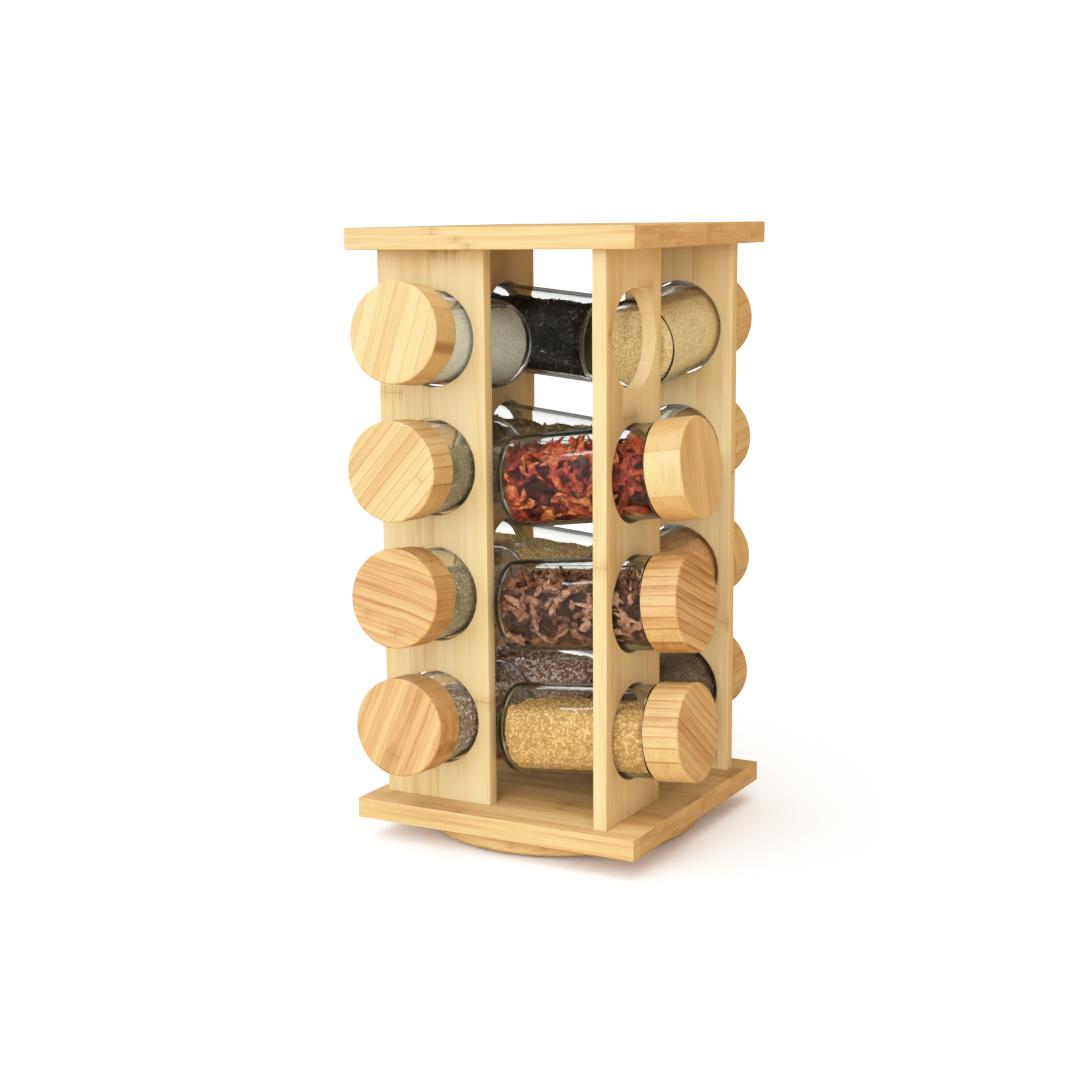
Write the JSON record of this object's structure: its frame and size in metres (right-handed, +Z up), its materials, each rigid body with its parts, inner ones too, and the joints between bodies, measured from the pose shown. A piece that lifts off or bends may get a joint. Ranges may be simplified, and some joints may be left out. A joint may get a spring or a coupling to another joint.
{
  "type": "spice carousel",
  "caption": "Square bamboo tower on a round swivel foot, with round holes in pinwheel uprights that hold glass spice jars lying lid outwards.",
  "frame": {"origin": "on the turning axis, at the surface that the rubber feet stand on", "axes": "+Z up along the turning axis; -Y towards the front, square to the face of upright a; +X to the right"},
  "size_m": [0.2021, 0.205, 0.3174],
  "materials": {
    "bamboo": "honey bamboo laminate with a thin satin lacquer",
    "bamboo_lid": "turned bamboo, striped by its laminate, satin",
    "glass": "clear soda-lime glass, polished",
    "silicone": "translucent grey silicone",
    "steel": "zinc plated pressed steel",
    "rubber": "matt black rubber",
    "spice_sage": "pale grey-green ground herb",
    "spice_chilli": "wrinkled dried chillies, slightly glossy",
    "spice_bark": "dry brown pods and sticks",
    "spice_sesame": "golden seed",
    "spice_tan": "tan ground spice",
    "spice_salt": "off-white coarse salt",
    "spice_orange": "orange-brown ground spice",
    "spice_pepper": "dark grey-brown seed",
    "spice_black": "black seed",
    "spice_herb": "olive dried herb leaf",
    "spice_seed": "olive-brown seed",
    "spice_flake": "dark red berries with pale pink flakes"
  },
  "bodies": {
    "foot": {"foot_disc": "bamboo", "rubber_foot_1": "rubber", "rubber_foot_2": "rubber", "rubber_foot_3": "rubber", "rubber_foot_4": "rubber", "bearing_lower_plate": "steel", "bearing_eyelet": "steel"},
    "ball_cage": {"bearing_ball_cage": "steel"},
    "carousel": {"base_board": "bamboo", "top_board": "bamboo", "upright_a": "bamboo", "upright_b": "bamboo", "upright_c": "bamboo", "upright_d": "bamboo", "bearing_upper_plate": "steel"},
    "jar_a1": {"jar_glass_a1": "glass"},
    "lid_a1": {"jar_lid_a1": "bamboo_lid", "jar_seal_a1": "silicone"},
    "jar_a2": {"jar_glass_a2": "glass"},
    "lid_a2": {"jar_lid_a2": "bamboo_lid", "jar_seal_a2": "silicone"},
    "jar_a3": {"jar_glass_a3": "glass"},
    "lid_a3": {"jar_lid_a3": "bamboo_lid", "jar_seal_a3": "silicone"},
    "jar_a4": {"jar_glass_a4": "glass"},
    "lid_a4": {"jar_lid_a4": "bamboo_lid", "jar_seal_a4": "silicone"},
    "jar_b2": {"jar_glass_b2": "glass"},
    "lid_b2": {"jar_lid_b2": "bamboo_lid", "jar_seal_b2": "silicone"},
    "jar_b3": {"jar_glass_b3": "glass"},
    "lid_b3": {"jar_lid_b3": "bamboo_lid", "jar_seal_b3": "silicone"},
    "jar_b4": {"jar_glass_b4": "glass"},
    "lid_b4": {"jar_lid_b4": "bamboo_lid", "jar_seal_b4": "silicone"},
    "jar_c1": {"jar_glass_c1": "glass"},
    "lid_c1": {"jar_lid_c1": "bamboo_lid", "jar_seal_c1": "silicone"},
    "jar_c2": {"jar_glass_c2": "glass"},
    "lid_c2": {"jar_lid_c2": "bamboo_lid", "jar_seal_c2": "silicone"},
    "jar_c3": {"jar_glass_c3": "glass"},
    "lid_c3": {"jar_lid_c3": "bamboo_lid", "jar_seal_c3": "silicone"},
    "jar_c4": {"jar_glass_c4": "glass"},
    "lid_c4": {"jar_lid_c4": "bamboo_lid", "jar_seal_c4": "silicone"},
    "jar_d1": {"jar_glass_d1": "glass"},
    "lid_d1": {"jar_lid_d1": "bamboo_lid", "jar_seal_d1": "silicone"},
    "jar_d2": {"jar_glass_d2": "glass"},
    "lid_d2": {"jar_lid_d2": "bamboo_lid", "jar_seal_d2": "silicone"},
    "jar_d3": {"jar_glass_d3": "glass"},
    "lid_d3": {"jar_lid_d3": "bamboo_lid", "jar_seal_d3": "silicone"},
    "jar_d4": {"jar_glass_d4": "glass"},
    "lid_d4": {"jar_lid_d4": "bamboo_lid", "jar_seal_d4": "silicone"}
  },
  "joints": [
    {"name": "carousel_spin", "type": "hinge", "parent": "foot", "child": "carousel", "pos_m": [0, 0, 0.0114], "axis": [0, 0, 1], "continuous": true},
    {"name": "ball_cage_spin", "type": "hinge", "parent": "foot", "child": "ball_cage", "pos_m": [0, 0, 0.00875], "axis": [0, 0, 1], "continuous": true},
    {"name": "jar_a1_slide", "type": "slide", "parent": "carousel", "child": "jar_a1", "axis": [0, -0.993, 0.1184], "range_m": [0, 0.075]},
    {"name": "lid_a1_pull", "type": "slide", "parent": "jar_a1", "child": "lid_a1", "axis": [0, -0.993, 0.1184], "range_m": [0, 0.03]},
    {"name": "jar_a2_slide", "type": "slide", "parent": "carousel", "child": "jar_a2", "axis": [0, -0.9983, 0.0576], "range_m": [0, 0.075]},
    {"name": "lid_a2_pull", "type": "slide", "parent": "jar_a2", "child": "lid_a2", "axis": [0, -0.9983, 0.0576], "range_m": [0, 0.03]},
    {"name": "jar_a3_slide", "type": "slide", "parent": "carousel", "child": "jar_a3", "axis": [0, -0.9951, 0.0993], "range_m": [0, 0.075]},
    {"name": "lid_a3_pull", "type": "slide", "parent": "jar_a3", "child": "lid_a3", "axis": [0, -0.9951, 0.0993], "range_m": [0, 0.03]},
    {"name": "jar_a4_slide", "type": "slide", "parent": "carousel", "child": "jar_a4", "axis": [0, -0.9972, 0.075], "range_m": [0, 0.075]},
    {"name": "lid_a4_pull", "type": "slide", "parent": "jar_a4", "child": "lid_a4", "axis": [0, -0.9972, 0.075], "range_m": [0, 0.03]},
    {"name": "jar_b2_slide", "type": "slide", "parent": "carousel", "child": "jar_b2", "axis": [0.9921, 0, 0.1253], "range_m": [0, 0.075]},
    {"name": "lid_b2_pull", "type": "slide", "parent": "jar_b2", "child": "lid_b2", "axis": [0.9921, 0, 0.1253], "range_m": [0, 0.03]},
    {"name": "jar_b3_slide", "type": "slide", "parent": "carousel", "child": "jar_b3", "axis": [0.9945, 0, 0.1045], "range_m": [0, 0.075]},
    {"name": "lid_b3_pull", "type": "slide", "parent": "jar_b3", "child": "lid_b3", "axis": [0.9945, 0, 0.1045], "range_m": [0, 0.03]},
    {"name": "jar_b4_slide", "type": "slide", "parent": "carousel", "child": "jar_b4", "axis": [0.996, 0, 0.0889], "range_m": [0, 0.075]},
    {"name": "lid_b4_pull", "type": "slide", "parent": "jar_b4", "child": "lid_b4", "axis": [0.996, 0, 0.0889], "range_m": [0, 0.03]},
    {"name": "jar_c1_slide", "type": "slide", "parent": "carousel", "child": "jar_c1", "axis": [0, 0.9942, 0.108], "range_m": [0, 0.075]},
    {"name": "lid_c1_pull", "type": "slide", "parent": "jar_c1", "child": "lid_c1", "axis": [0, 0.9942, 0.108], "range_m": [0, 0.03]},
    {"name": "jar_c2_slide", "type": "slide", "parent": "carousel", "child": "jar_c2", "axis": [0, 0.9938, 0.1115], "range_m": [0, 0.075]},
    {"name": "lid_c2_pull", "type": "slide", "parent": "jar_c2", "child": "lid_c2", "axis": [0, 0.9938, 0.1115], "range_m": [0, 0.03]},
    {"name": "jar_c3_slide", "type": "slide", "parent": "carousel", "child": "jar_c3", "axis": [0, 0.9956, 0.0941], "range_m": [0, 0.075]},
    {"name": "lid_c3_pull", "type": "slide", "parent": "jar_c3", "child": "lid_c3", "axis": [0, 0.9956, 0.0941], "range_m": [0, 0.03]},
    {"name": "jar_c4_slide", "type": "slide", "parent": "carousel", "child": "jar_c4", "axis": [0, 0.9962, 0.0872], "range_m": [0, 0.075]},
    {"name": "lid_c4_pull", "type": "slide", "parent": "jar_c4", "child": "lid_c4", "axis": [0, 0.9962, 0.0872], "range_m": [0, 0.03]},
    {"name": "jar_d1_slide", "type": "slide", "parent": "carousel", "child": "jar_d1", "axis": [-0.9949, 0, 0.1011], "range_m": [0, 0.075]},
    {"name": "lid_d1_pull", "type": "slide", "parent": "jar_d1", "child": "lid_d1", "axis": [-0.9949, 0, 0.1011], "range_m": [0, 0.03]},
    {"name": "jar_d2_slide", "type": "slide", "parent": "carousel", "child": "jar_d2", "axis": [-0.9934, 0, 0.1149], "range_m": [0, 0.075]},
    {"name": "lid_d2_pull", "type": "slide", "parent": "jar_d2", "child": "lid_d2", "axis": [-0.9934, 0, 0.1149], "range_m": [0, 0.03]},
    {"name": "jar_d3_slide", "type": "slide", "parent": "carousel", "child": "jar_d3", "axis": [-0.9959, 0, 0.0906], "range_m": [0, 0.075]},
    {"name": "lid_d3_pull", "type": "slide", "parent": "jar_d3", "child": "lid_d3", "axis": [-0.9959, 0, 0.0906], "range_m": [0, 0.03]},
    {"name": "jar_d4_slide", "type": "slide", "parent": "carousel", "child": "jar_d4", "axis": [-0.9943, 0, 0.1063], "range_m": [0, 0.075]},
    {"name": "lid_d4_pull", "type": "slide", "parent": "jar_d4", "child": "lid_d4", "axis": [-0.9943, 0, 0.1063], "range_m": [0, 0.03]}
  ],
  "couplings": [
    {"joint": "ball_cage_spin", "follows": "carousel_spin", "ratio": 0.5}
  ]
}
